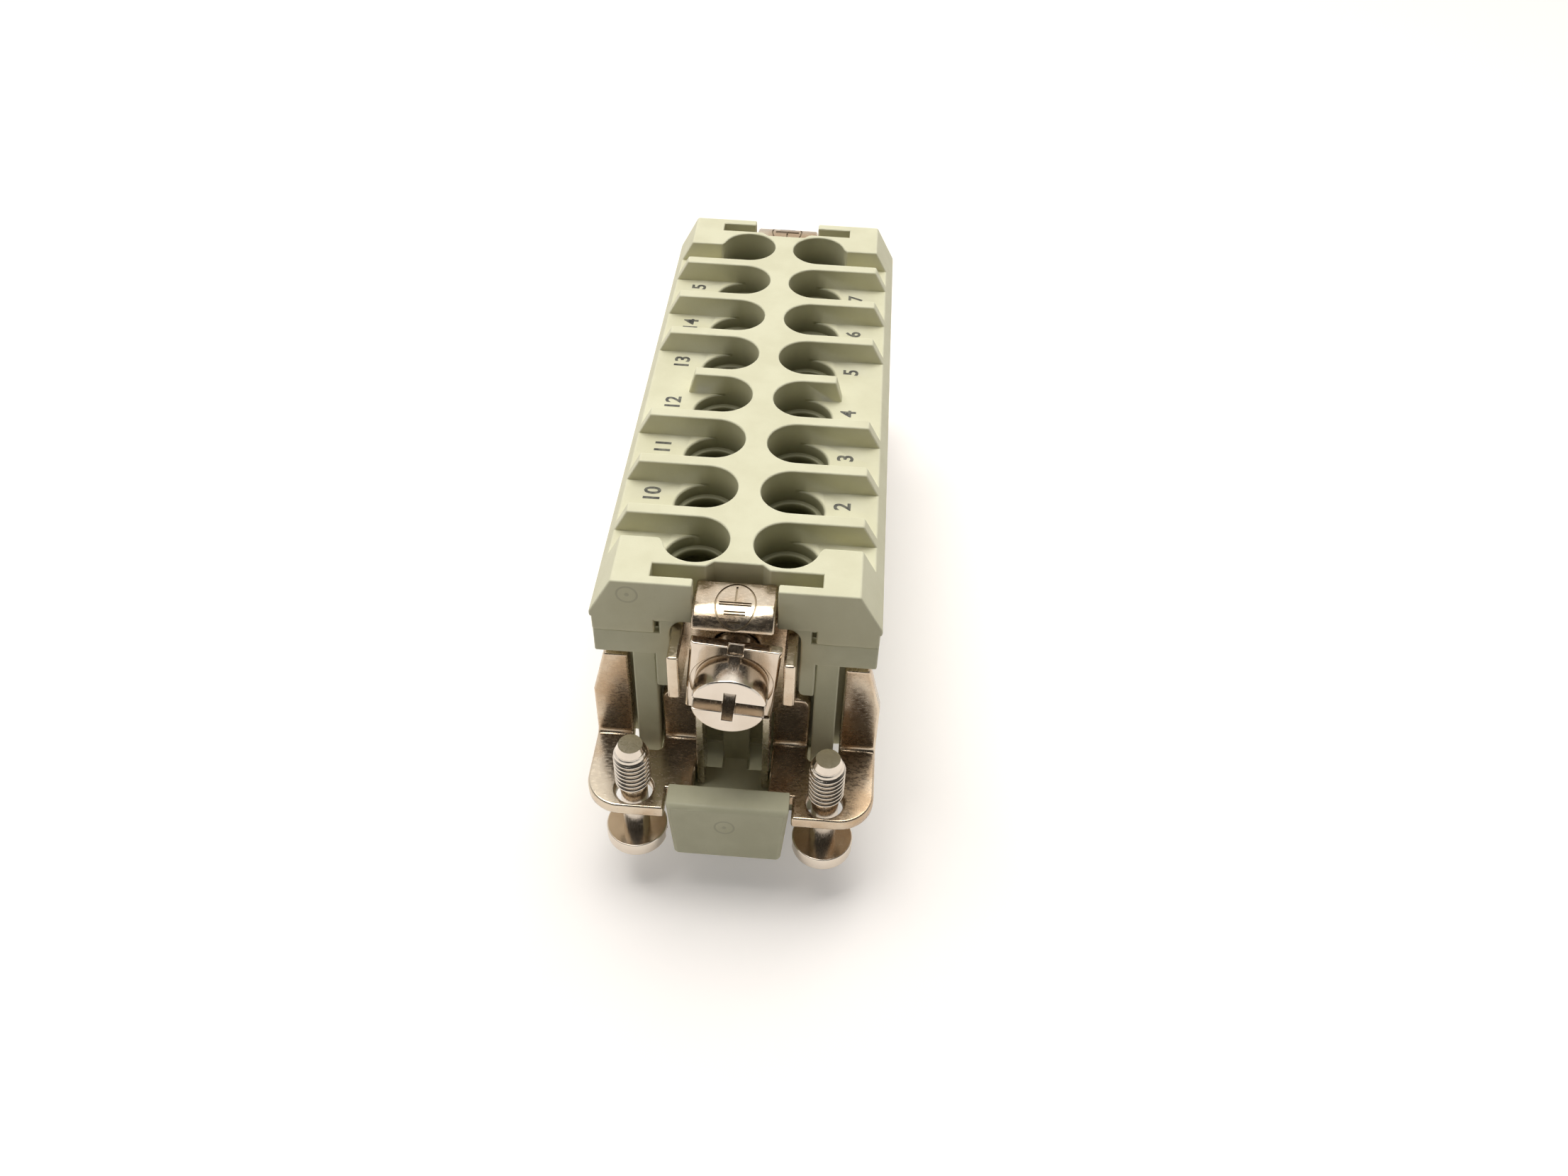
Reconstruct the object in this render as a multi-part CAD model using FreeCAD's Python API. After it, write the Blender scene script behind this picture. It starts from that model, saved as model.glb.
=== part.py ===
import FreeCAD, Part
import math
import os

V = FreeCAD.Vector

# Multi-pole connector insert with an earth terminal at both ends, in millimetres.
# It stands on its mating face at z = 0, wiring side up. X runs across, Y along its length.
# The origin is the middle of the mating face. The front end is towards -Y.
# Heights are set down from the top face, lengths outwards from the last row of contacts.

# Overall sizes and fits
overall_height = 30.0
fit_gap = 0.1              # play between a plastic wall and what it locates
screw_gap = 0.05           # radial play between a thread and its tapped hole

# Contact layout
rows = 8
pitch = 6.5                # row to row, along Y
column_spacing = 7.2       # column to column, along X

# Upper cover
cover_width = 23.0
cover_overhang = 1.05      # end of the cover beyond the bracket's upright wall
side_chamfer_width = 1.9
side_chamfer_height = 3.5
cover_depth = 4.05         # top face to the seam with the lower body
hole_radius = 2.65
hole_throat_radius = 2.2
throat_height = 0.9        # height of the narrow ring at the foot of each hole
recess_depth = 2.1
end_recess_overrun = 0.1   # the end recesses reach this far past the hole's axis
land_corner_reach = 2.9    # hole's axis to the corner of the end land, across
land_corner_width = 0.7
land_corner_length = 1.05
middle_land_reach = 2.87   # hole's axis to the end of the short middle land, at its top
middle_land_slant = 0.6
slot_half_width = 6.65
slot_play = 0.1
bump_half_width = 1.9
bump_depth = 0.6
tongue_gap = 0.1
lip_height = 1.4
lip_thickness = 1.1
lip_gap = 0.36
lip_inner = 6.4
lip_inset = 0.15

# Sheet-metal end bracket
sheet = 1.2
bend_radius = 0.4
end_margin = 3.2           # last row of contacts to the back of the upright wall
flange_drop = 19.3         # top face down to the flange
flange_overhang = 0.55     # flange beyond the side of the cover
flange_margin = 1.95       # fixing screw to the front edge of the flange
flange_corner = 3.0
finger_inner = 8.9
finger_drop = 9.4
finger_slant_height = 4.6
finger_slant = 1.1
plate_half_width = 6.25
plate_drop = 13.5
plate_corner = 0.9
window_half_width = 3.15
window_drop = 15.4
leg_slot_reach = 1.6       # upright wall to the front of the leg's slot in the flange
leg_slot_corner = 0.5
nose_notch_half_width = 5.3
nose_notch_setback = 5.6   # upright wall to the back of the notch for the nose
ear_thickness = 0.95
ear_reach = 4.35
ear_drop = 4.65
ear_height = 4.65
ear_gap = 0.2              # ear to the side of the opening in the lower body
tongue_width = 6.4
tongue_drop = 1.3
tongue_flat = 1.15         # flat run of the tongue in front of the upright wall
tongue_bend_radius = 2.5
tongue_bend_angle = 58.0

# Lower body
band_inset = 0.15          # band behind the cover, at the sides and ends
band_drop = 8.05
box_inset = 0.6
opening_half_width = 5.2
opening_corner = 1.5
pillar_half_width = 6.45
pillar_drop = 11.8
pillar_corner = 0.5
leg_gap = 0.25
leg_width = 1.9
leg_reach = 0.5            # leg's face in front of the upright wall
leg_depth = 1.7            # leg's foot below the flange
tower_wall = 2.1
tower_end_wall = 1.3
tower_corner = 2.5
chamber_width_x = 5.0
chamber_width_y = 4.7
chamber_drop = 22.0
wire_hole_drop = 17.4
wire_hole_radius = 1.7
wire_funnel_radius = 2.3
wire_funnel_depth = 1.5
socket_funnel = 0.35

# Nose of the lower body, through the notch in the flange
nose_gap = 0.2
nose_overhang = 0.25       # nose in front of the flange
nose_taper = 0.55          # each side, from its top to its bottom
nose_height = 6.6
nose_rise = 0.8            # nose's top above the flange
nose_corner = 0.45
nose_wall = 2.4
nose_side_wall = 1.8
nose_rib_half_width = 1.15
nose_floor_drop = 2.5      # below the flange
nose_floor_thickness = 1.3
nose_floor_length = 4.6

# Contacts and their clamp screws
block_height = 9.0
barrel_radius = 1.8
barrel_end = 1.2
socket_radius = 1.25
socket_depth = 6.5
clamp_thread_radius = 1.5
clamp_head_radius = 2.0
clamp_head_height = 1.8
clamp_head_edge = 0.25
clamp_screw_reach = 3.2    # thread below the top of the contact's block
screw_slot = 0.6
screw_slot_depth = 0.8

# Earth terminal
earth_screw_drop = 7.7
earth_screw_turn = 5.0     # degrees that the slot stands off level
earth_thread_radius = 2.0
earth_head_radius = 2.95
earth_head_edge = 0.2
earth_head_reach = 6.25    # upright wall to the face of the head
earth_head_height = 2.8
earth_slot = 1.25
earth_slot_depth = 0.9
earth_cross_width = 0.85
earth_cross_length = 3.2
earth_cross_depth = 1.4
clamp_half_width = 3.55
clamp_thickness = 0.85
clamp_above = 4.15         # screw's axis to the top edge
clamp_below = 3.3
clamp_corner = 0.4
clamp_dish = 0.35          # depth of the round seat for the head
clamp_dish_gap = 0.33
clamp_hole_gap = 0.3
clamp_notch_width = 1.15
clamp_notch_depth = 0.45
earth_strip = 0.6
earth_strip_reach = 3.05
earth_strip_drop = 11.1
earth_arm_drop = 12.5
earth_arm_gap = 0.1        # above the nose's floor

# Captive fixing screws
fixing_spacing = 16.0      # across
fixing_offset = 5.85       # upright wall to the screws' axes
fixing_thread_radius = 1.5
fixing_shank_radius = 1.15
fixing_head_radius = 2.6
fixing_head_height = 1.5
fixing_head_edge = 0.3
fixing_length = 10.5
fixing_tip_height = 5.8    # above the flange
fixing_tip_chamfer = 0.44
fixing_engagement = 0.05   # thread left inside the flange's tapped hole
fixing_slot = 0.8
fixing_slot_depth = 0.8

past = 1.0                 # how far a cutting shape runs past the face that it cuts

top = overall_height
seam = top - cover_depth
band_bottom = top - band_drop
flange_top = top - flange_drop
flange_bottom = flange_top - sheet
chamber_floor = top - chamber_drop
wire_hole_height = top - wire_hole_drop
plate_top = top - plate_drop
window_top = top - window_drop
ear_top = top - ear_drop
tongue_top = top - tongue_drop
nose_top = flange_top + nose_rise
earth_screw_height = top - earth_screw_drop

column = column_spacing / 2
last_row = (rows - 1) / 2 * pitch
wall_back = last_row + end_margin
wall_face = wall_back + sheet
half_cover = wall_face + cover_overhang
half_band = half_cover - band_inset
half_box = wall_back - 2 * fit_gap
fixing_row = wall_face + fixing_offset
flange_end = fixing_row + flange_margin
notch_start = wall_face + nose_notch_setback
nose_end = flange_end + nose_overhang
head_face = wall_face + earth_head_reach
clamp_front = head_face - earth_head_height + clamp_dish

cover_side = cover_width / 2
band_side = cover_side - band_inset
box_side = cover_side - box_inset
flange_side = cover_side + flange_overhang
tower_side = column + chamber_width_x / 2 + tower_wall
tower_end = last_row + chamber_width_y / 2 + tower_end_wall
leg_inner = plate_half_width + leg_gap
leg_outer = leg_inner + leg_width
ear_outer = opening_half_width - ear_gap
nose_side = nose_notch_half_width - nose_gap
fixing_hole_radius = fixing_thread_radius + screw_gap


def block(x0, x1, y0, y1, z0, z1):
    return Part.makeBox(x1 - x0, y1 - y0, z1 - z0, V(x0, y0, z0))


def centred(half_x, y0, y1, z0, z1):
    return block(-half_x, half_x, y0, y1, z0, z1)


def rod(radius, start, direction, length):
    return Part.makeCylinder(radius, length, start, direction)


def cone(radius_a, radius_b, start, direction, length):
    return Part.makeCone(radius_a, radius_b, length, start, direction)


def prism(points, direction):
    """A flat outline of straight edges, extruded."""
    wire = Part.makePolygon(points + [points[0]])
    return Part.Face(wire).extrude(direction)


def both_sides(shape):
    """The shape and its mirror image across the middle plane."""
    return [shape, shape.mirror(V(0, 0, 0), V(1, 0, 0))]


def turned(shape):
    """The same shape at the rear end."""
    copy = shape.copy()
    copy.rotate(V(0, 0, 0), V(0, 0, 1), 180)
    return copy


def both_ends(shape):
    return [shape, turned(shape)]


def all_corners(shape):
    found = []
    for one in both_sides(shape):
        found += both_ends(one)
    return found


def rounded(shape, radius, test):
    """Rounds the edges whose middle point passes the test."""
    edges = [edge for edge in shape.Edges if test(edge.CenterOfMass)]
    return shape.makeFillet(radius, edges)


def near(a, b):
    return abs(a - b) < 0.01


def row_y(row):
    return row * pitch - last_row


def places():
    """Contact number, axis and side of every pole: the right column first, from the front."""
    found = []
    for side in (1, -1):
        for row in range(rows):
            found.append((len(found) + 1, side * column, row_y(row), side))
    return found


def cover_recesses():
    """One side's open recesses, with their corners at the end lands and the short middle land."""
    floor = top - recess_depth
    edge = last_row + end_recess_overrun
    cuts = []
    for row in range(rows):
        y = row_y(row)
        cuts.append(block(column, cover_side + past, max(y - hole_radius, -edge), min(y + hole_radius, edge),
                          floor, top + past))
    corner = prism(
        [
            V(column, -edge, floor),
            V(column + land_corner_reach, -edge, floor),
            V(column + land_corner_reach - land_corner_width, -edge - land_corner_length, floor),
            V(column, -edge - land_corner_length, floor),
        ],
        V(0, 0, recess_depth + past),
    )
    cuts += [corner, corner.mirror(V(0, 0, 0), V(0, 1, 0))]
    half_land = pitch / 2 - hole_radius
    reach = column + middle_land_reach
    cuts.append(prism(
        [
            V(reach + middle_land_slant, -half_land, floor),
            V(cover_side + past, -half_land, floor),
            V(cover_side + past, -half_land, top + past),
            V(reach, -half_land, top + past),
            V(reach, -half_land, top),
        ],
        V(0, 2 * half_land, 0),
    ))
    return cuts


def upper_cover():
    shoulder = top - side_chamfer_height
    half_top = cover_side - side_chamfer_width
    body = prism(
        [
            V(-cover_side, -half_cover, seam),
            V(cover_side, -half_cover, seam),
            V(cover_side, -half_cover, shoulder),
            V(half_top, -half_cover, top),
            V(-half_top, -half_cover, top),
            V(-cover_side, -half_cover, shoulder),
        ],
        V(0, 2 * half_cover, 0),
    )
    cuts = []
    for cut in cover_recesses():
        cuts += both_sides(cut)
    for number, x, y, side in places():
        cuts.append(rod(hole_radius, V(x, y, seam + throat_height), V(0, 0, 1), cover_depth))
        cuts.append(rod(hole_throat_radius, V(x, y, seam - past), V(0, 0, 1), cover_depth))
    slot_far = wall_back - slot_play
    slot_near = wall_face + slot_play
    cuts += both_ends(centred(slot_half_width, -slot_near, -slot_far, seam - past, top + past))
    bump = prism(
        [
            V(-bump_half_width - bump_depth, -slot_far, seam - past),
            V(bump_half_width + bump_depth, -slot_far, seam - past),
            V(bump_half_width, -slot_far + bump_depth, seam - past),
            V(-bump_half_width, -slot_far + bump_depth, seam - past),
        ],
        V(0, 0, cover_depth + 2 * past),
    )
    cuts += both_ends(bump)
    cuts += both_ends(centred(tongue_width / 2 + tongue_gap, -half_cover - past, -slot_far, seam - past, top + past))
    body = body.cut(Part.makeCompound(cuts))
    lip = block(lip_inner, cover_side - lip_inset, -half_cover, -half_cover + lip_thickness, seam - lip_height, seam)
    return body.fuse(all_corners(lip)).removeSplitter()


def bracket_sheet():
    """Flange and upright wall as one bent sheet, with its fingers, slots, window and notch."""
    flange = centred(flange_side, -flange_end, -wall_back, flange_bottom, flange_top)
    finger_top = top - finger_drop
    wall = centred(flange_side, -wall_face, -wall_back, flange_bottom, finger_top)
    bent = flange.fuse(wall).removeSplitter()
    bent = rounded(bent, bend_radius, lambda c: near(c.y, -wall_face) and near(c.z, flange_top))
    bent = rounded(bent, bend_radius + sheet, lambda c: near(c.y, -wall_back) and near(c.z, flange_bottom))
    bent = rounded(bent, flange_corner, lambda c: near(abs(c.x), flange_side) and near(c.y, -flange_end))
    behind = -wall_back + past
    ahead = -wall_face - past
    cuts = []
    slant = prism(
        [
            V(flange_side, ahead, finger_top - finger_slant_height),
            V(flange_side - finger_slant, ahead, finger_top),
            V(flange_side - finger_slant, ahead, finger_top + past),
            V(flange_side + past, ahead, finger_top + past),
            V(flange_side + past, ahead, finger_top - finger_slant_height),
        ],
        V(0, sheet + 2 * past, 0),
    )
    cuts += both_sides(slant)
    slot_end = -wall_face - leg_slot_reach
    slot = block(plate_half_width, finger_inner, slot_end, behind, flange_bottom - past, finger_top + past)
    slot = rounded(slot, leg_slot_corner, lambda c: near(c.y, slot_end) and not near(c.x, (plate_half_width + finger_inner) / 2))
    cuts += both_sides(slot)
    cuts.append(centred(plate_half_width + fit_gap, ahead, behind, plate_top, finger_top + past))
    cuts.append(centred(window_half_width, -notch_start - past, behind, flange_bottom - past, window_top))
    cuts.append(centred(nose_notch_half_width, -flange_end - past, -notch_start, flange_bottom - past, flange_top + past))
    hole = rod(fixing_hole_radius, V(fixing_spacing / 2, -fixing_row, flange_bottom - past), V(0, 0, 1), sheet + 2 * past)
    cuts += both_sides(hole)
    bent = bent.cut(Part.makeCompound(cuts))
    return rounded(bent, plate_corner, lambda c: near(abs(c.x), plate_half_width) and near(c.z, plate_top))


def bracket_tongue():
    """Riser, flat run and the drooping end over the terminal."""
    half = tongue_width / 2
    flat_end = wall_face + tongue_flat
    riser = centred(half, -wall_face, -wall_back, ear_top - past, tongue_top)
    run = centred(half, -flat_end, -wall_back, tongue_top - sheet, tongue_top)
    angle = math.radians(tongue_bend_angle)
    outer = tongue_bend_radius
    inner = tongue_bend_radius - sheet

    def on_arc(radius, turn):
        drop = tongue_bend_radius - radius * math.cos(turn)
        return V(-half, -flat_end - radius * math.sin(turn), tongue_top - drop)

    edges = [
        Part.Arc(on_arc(outer, 0), on_arc(outer, angle / 2), on_arc(outer, angle)).toShape(),
        Part.makeLine(on_arc(outer, angle), on_arc(inner, angle)),
        Part.Arc(on_arc(inner, angle), on_arc(inner, angle / 2), on_arc(inner, 0)).toShape(),
        Part.makeLine(on_arc(inner, 0), on_arc(outer, 0)),
    ]
    droop = Part.Face(Part.Wire(edges)).extrude(V(tongue_width, 0, 0))
    return [riser, run, droop]


def bracket():
    """One folded sheet: flange, upright wall with fingers, ears and the tongue over the terminal."""
    plate = centred(ear_outer, -wall_face, -wall_back, plate_top - past, ear_top)
    ear = block(ear_outer - ear_thickness, ear_outer, -wall_face - ear_reach, -wall_face, ear_top - ear_height, ear_top)
    shape = bracket_sheet().fuse([plate] + bracket_tongue() + both_sides(ear)).removeSplitter()
    tapped = rod(earth_thread_radius, V(0, -wall_face - past, earth_screw_height), V(0, 1, 0), sheet + 2 * past)
    return shape.cut(tapped)


def nose():
    """Front wall, side walls under the flange, and a floor with a rib towards the tower."""
    bottom = nose_top - nose_height
    body = prism(
        [
            V(-nose_side, -nose_end, nose_top),
            V(-nose_side + nose_taper, -nose_end, bottom),
            V(nose_side - nose_taper, -nose_end, bottom),
            V(nose_side, -nose_end, nose_top),
        ],
        V(0, nose_end - tower_end, 0),
    )
    body = rounded(body, nose_corner, lambda c: near(c.y, -nose_end) and c.z > bottom + fit_gap)
    well_side = nose_side - nose_side_wall
    well_end = nose_end - nose_wall
    cuts = [
        centred(nose_side + past, -notch_start - fit_gap, 0, flange_bottom - fit_gap, nose_top + past),
        centred(well_side, -well_end, -tower_end - fit_gap, bottom - past, nose_top),
    ]
    floor_top = flange_top - nose_floor_drop
    floor_bottom = floor_top - nose_floor_thickness
    floor_back = well_end - nose_floor_length
    floor = centred(well_side, -well_end, -floor_back, floor_bottom, floor_top)
    rib = centred(nose_rib_half_width, -floor_back, -tower_end, floor_bottom, floor_top)
    stem = centred(nose_rib_half_width, -wall_face, -half_box, floor_top, window_top - fit_gap)
    return body.cut(Part.makeCompound(cuts)).fuse([floor, rib, stem])


def lower_body():
    band = block(-band_side, band_side, -half_band, half_band, band_bottom, seam)
    box = block(-box_side, box_side, -half_box, half_box, flange_bottom, band_bottom)
    tower = block(-tower_side, tower_side, -tower_end, tower_end, 0, flange_bottom)
    tower = rounded(tower, tower_corner, lambda c: near(abs(c.x), tower_side) and near(abs(c.y), tower_end))
    pillar = block(opening_half_width, pillar_half_width, -half_band, -wall_face - fit_gap, top - pillar_drop, band_bottom)
    pillar = rounded(pillar, pillar_corner, lambda c: near(c.x, opening_half_width) and near(c.z, top - pillar_drop))
    leg = block(leg_inner, leg_outer, -wall_face - leg_reach, -half_box, flange_top - leg_depth, band_bottom)
    pieces = [box, tower] + all_corners(pillar) + all_corners(leg) + both_ends(nose())
    body = band.fuse(pieces)
    cuts = []
    # Room for the bracket's middle plate and for the earth terminal
    cuts += both_ends(centred(slot_half_width, -wall_face - fit_gap, -half_box, band_bottom - fit_gap / 2, seam + past))
    opening = centred(opening_half_width, -half_band - past, -wall_face, top - pillar_drop - past, seam)
    opening = rounded(opening, opening_corner, lambda c: near(c.z, seam) and near(abs(c.x), opening_half_width))
    cuts += both_ends(opening)
    cuts += both_ends(centred(tongue_width / 2 + tongue_gap, -half_band - past, -half_box, band_bottom, seam + past))
    # Pockets that take the cover's lips
    pocket = block(
        lip_inner - lip_gap, band_side + past, -half_band - past, -half_cover + lip_thickness + fit_gap,
        seam - lip_height - fit_gap / 2, seam + past,
    )
    cuts += all_corners(pocket)
    socket_bore = barrel_radius + fit_gap
    for number, x, y, side in places():
        half_x = chamber_width_x / 2
        half_y = chamber_width_y / 2
        cuts.append(block(x - half_x, x + half_x, y - half_y, y + half_y, chamber_floor, seam + past))
        cuts.append(rod(socket_bore, V(x, y, -past), V(0, 0, 1), chamber_floor + 2 * past))
        cuts.append(cone(socket_bore + socket_funnel, socket_bore, V(x, y, 0), V(0, 0, 1), socket_funnel))
        outside = V(side * box_side, y, wire_hole_height)
        inward = V(-side, 0, 0)
        cuts.append(rod(wire_hole_radius, outside, inward, box_side - column))
        cuts.append(cone(wire_funnel_radius, wire_hole_radius, outside, inward, wire_funnel_depth))
    return body.cut(Part.makeCompound(cuts)).removeSplitter()


def contact(x, y, side):
    """Turned female contact with its wire box: the wire comes in from the side."""
    half_x = chamber_width_x / 2 - fit_gap
    half_y = chamber_width_y / 2 - fit_gap
    block_top = chamber_floor + block_height
    body = block(x - half_x, x + half_x, y - half_y, y + half_y, chamber_floor, block_top)
    barrel = rod(barrel_radius, V(x, y, barrel_end), V(0, 0, 1), chamber_floor - barrel_end)
    socket = rod(socket_radius, V(x, y, barrel_end - past), V(0, 0, 1), socket_depth + past)
    wire = rod(wire_hole_radius, V(x + side * (half_x + past), y, wire_hole_height), V(-side, 0, 0), 2 * half_x)
    tapped = rod(clamp_thread_radius, V(x, y, wire_hole_height), V(0, 0, 1), block_height)
    return body.fuse(barrel).cut(Part.makeCompound([socket, wire, tapped])).removeSplitter()


def slotted_head(radius, height, edge):
    """A cheese head that stands on z = 0, its upper edge rounded."""
    head = rod(radius, V(0, 0, 0), V(0, 0, 1), height)
    return rounded(head, edge, lambda c: near(c.z, height))


def clamp_screw(x, y):
    head = slotted_head(clamp_head_radius, clamp_head_height, clamp_head_edge)
    thread = rod(clamp_thread_radius - screw_gap, V(0, 0, -clamp_screw_reach), V(0, 0, 1), clamp_screw_reach)
    reach = clamp_head_radius + past
    slot = block(-reach, reach, -screw_slot / 2, screw_slot / 2, clamp_head_height - screw_slot_depth,
                 clamp_head_height + past)
    screw = head.fuse(thread).cut(slot).removeSplitter()
    screw.translate(V(x, y, chamber_floor + block_height))
    return screw


def to_terminal(shape):
    """Stands a shape, made along z about the origin, on the earth screw's axis, facing forwards."""
    shape.rotate(V(0, 0, 0), V(1, 0, 0), 90)
    shape.rotate(V(0, 0, 0), V(0, 1, 0), earth_screw_turn)
    shape.translate(V(0, 0, earth_screw_height))
    return shape


def earth_screw():
    head = slotted_head(earth_head_radius, earth_head_height, earth_head_edge)
    under_head = head_face - earth_head_height
    reach = under_head - wall_back
    thread = rod(earth_thread_radius - screw_gap, V(0, 0, -reach), V(0, 0, 1), reach)
    across = earth_head_radius + past
    slot = block(-across, across, -earth_slot / 2, earth_slot / 2, earth_head_height - earth_slot_depth,
                 earth_head_height + past)
    half_cross = earth_cross_width / 2
    cross = block(-half_cross, half_cross, -earth_cross_length / 2, earth_cross_length / 2,
                  earth_head_height - earth_cross_depth, earth_head_height + past)
    screw = head.fuse(thread).cut(Part.makeCompound([slot, cross])).removeSplitter()
    screw.translate(V(0, 0, under_head))
    return to_terminal(screw)


def clamp_plate():
    """Pressed clamp under the earth screw's head, with a round seat and a notched top edge."""
    plate = centred(clamp_half_width, -clamp_below, clamp_above, 0, clamp_thickness)
    plate = rounded(plate, clamp_corner, lambda c: near(abs(c.x), clamp_half_width) and near(c.z, clamp_thickness))
    dish_floor = clamp_thickness - clamp_dish
    dish = rod(earth_head_radius + clamp_dish_gap, V(0, 0, dish_floor), V(0, 0, 1), clamp_dish + past)
    hole = rod(earth_thread_radius + clamp_hole_gap, V(0, 0, -past), V(0, 0, 1), clamp_thickness + past)
    notch = centred(clamp_notch_width / 2, earth_head_radius, clamp_above + past, clamp_thickness - clamp_notch_depth,
                    clamp_thickness + past)
    plate = plate.cut(Part.makeCompound([dish, hole, notch])).removeSplitter()
    plate.translate(V(0, 0, clamp_front - clamp_thickness))
    return to_terminal(plate)


def earth_contact():
    """Folded strip: a base on the bracket's wall and two arms down into the nose."""
    outer = window_half_width - fit_gap
    base_top = top - earth_strip_drop
    base = centred(outer, -wall_face - earth_strip, -wall_face, window_top + fit_gap, base_top)
    arm = block(
        outer - earth_strip, outer, -wall_face - earth_strip_reach, -wall_face - earth_strip,
        flange_top - nose_floor_drop + earth_arm_gap, top - earth_arm_drop,
    )
    return base.fuse(both_sides(arm)).removeSplitter()


def fixing_screw(x, y):
    """Captive screw, head down: its thin shank hangs in the flange's tapped hole."""
    up = V(0, 0, 1)
    tip_top = flange_top + fixing_tip_height
    under_head = tip_top - fixing_length
    head = slotted_head(fixing_head_radius, fixing_head_height, fixing_head_edge)
    across = fixing_head_radius + past
    slot = block(-across, across, -fixing_slot / 2, fixing_slot / 2, fixing_head_height - fixing_slot_depth,
                 fixing_head_height + past)
    head = head.cut(slot)
    head.rotate(V(0, 0, 0), V(1, 0, 0), 180)
    head.translate(V(x, y, under_head))
    thread_start = flange_top - fixing_engagement
    thread_end = tip_top - fixing_tip_chamfer
    shank = rod(fixing_shank_radius, V(x, y, under_head), up, thread_start - under_head)
    thread = rod(fixing_thread_radius, V(x, y, thread_start), up, thread_end - thread_start)
    tip = cone(fixing_thread_radius, fixing_thread_radius - fixing_tip_chamfer, V(x, y, thread_end), up,
               fixing_tip_chamfer)
    return head.fuse([shank, thread, tip]).removeSplitter()


nodes = {}
nodes["upper_cover"] = upper_cover()
nodes["lower_body"] = lower_body()
front_pieces = {
    "bracket": bracket(),
    "clamp_plate": clamp_plate(),
    "earth_screw": earth_screw(),
    "earth_contact": earth_contact(),
}
for name, shape in front_pieces.items():
    nodes["front_" + name] = shape
    nodes["rear_" + name] = turned(shape)
corners = [(1, -1), (-1, -1), (1, 1), (-1, 1)]
for number, (side, end) in enumerate(corners, 1):
    nodes["fixing_screw_%d" % number] = fixing_screw(side * fixing_spacing / 2, end * fixing_row)
for number, x, y, side in places():
    nodes["contact_%02d" % number] = contact(x, y, side)
    nodes["clamp_screw_%02d" % number] = clamp_screw(x, y)

os.makedirs("parts", exist_ok=True)
for name, shape in nodes.items():
    shape.exportStep("parts/%s.step" % name)
    print(name, len(shape.Solids), round(shape.Volume, 1), shape.isValid())
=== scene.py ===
import math
import bmesh
import bpy
from mathutils import Matrix, Vector


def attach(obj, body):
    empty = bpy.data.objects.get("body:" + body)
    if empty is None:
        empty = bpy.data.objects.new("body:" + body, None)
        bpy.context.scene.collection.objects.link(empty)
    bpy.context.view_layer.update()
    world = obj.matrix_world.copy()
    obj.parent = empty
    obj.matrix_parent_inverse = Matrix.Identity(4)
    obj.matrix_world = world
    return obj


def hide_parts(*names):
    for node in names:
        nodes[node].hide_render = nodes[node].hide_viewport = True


mm = 0.001  # the sizes below are in millimetres, the scene is in metres
rowPitch = 6.5
rowPlaces = [(row - 3.5) * rowPitch for row in range(8)]
columnPlace = 3.6

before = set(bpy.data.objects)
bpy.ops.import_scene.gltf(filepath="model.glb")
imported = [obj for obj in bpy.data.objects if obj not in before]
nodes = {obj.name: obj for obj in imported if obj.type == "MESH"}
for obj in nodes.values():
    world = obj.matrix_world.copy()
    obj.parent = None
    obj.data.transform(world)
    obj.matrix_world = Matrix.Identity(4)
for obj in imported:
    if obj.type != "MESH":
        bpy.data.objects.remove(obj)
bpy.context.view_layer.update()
scene = bpy.context.scene
print("frame loaded:", len(nodes), "nodes")


# Small helpers for node trees

def addNode(tree, kind, **settings):
    node = tree.nodes.new(kind)
    for key, value in settings.items():
        if hasattr(node, key):
            setattr(node, key, value)
        else:
            node.inputs[key.replace("_", " ")].default_value = value
    return node


def join(tree, source, target):
    tree.links.new(source, target)


def mathNode(tree, operation, first, second=None, third=None, clamp=False):
    node = addNode(tree, "ShaderNodeMath", operation=operation, use_clamp=clamp)
    for index, value in enumerate((first, second, third)):
        if value is None:
            continue
        if isinstance(value, (int, float)):
            node.inputs[index].default_value = value
        else:
            join(tree, value, node.inputs[index])
    return node.outputs[0]


def mixColour(tree, factor, first, second, blend="MIX"):
    node = addNode(tree, "ShaderNodeMix", data_type="RGBA", blend_type=blend)
    for value, socket in ((factor, node.inputs[0]), (first, node.inputs[6]), (second, node.inputs[7])):
        if isinstance(value, (int, float)):
            socket.default_value = value
        elif isinstance(value, tuple):
            socket.default_value = value
        else:
            join(tree, value, socket)
    return node.outputs[2]


def rangeNode(tree, value, low, high, toLow=0.0, toHigh=1.0):
    node = addNode(tree, "ShaderNodeMapRange", interpolation_type="SMOOTHSTEP")
    join(tree, value, node.inputs["Value"])
    node.inputs["From Min"].default_value = low
    node.inputs["From Max"].default_value = high
    node.inputs["To Min"].default_value = toLow
    node.inputs["To Max"].default_value = toHigh
    return node.outputs["Result"]


def noise(tree, place, scale, detail=2.0, roughness=0.5):
    node = addNode(tree, "ShaderNodeTexNoise", Scale=scale, Detail=detail, Roughness=roughness)
    join(tree, place, node.inputs["Vector"])
    return node.outputs["Fac"]


# A screen colour of 0 to 255 as the linear colour that the shader takes
def shade(red, green, blue):
    return tuple(((c / 255 + 0.055) / 1.055) ** 2.4 if c > 10 else c / 3295 for c in (red, green, blue)) + (1.0,)


# Shared effects, as node groups

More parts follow.
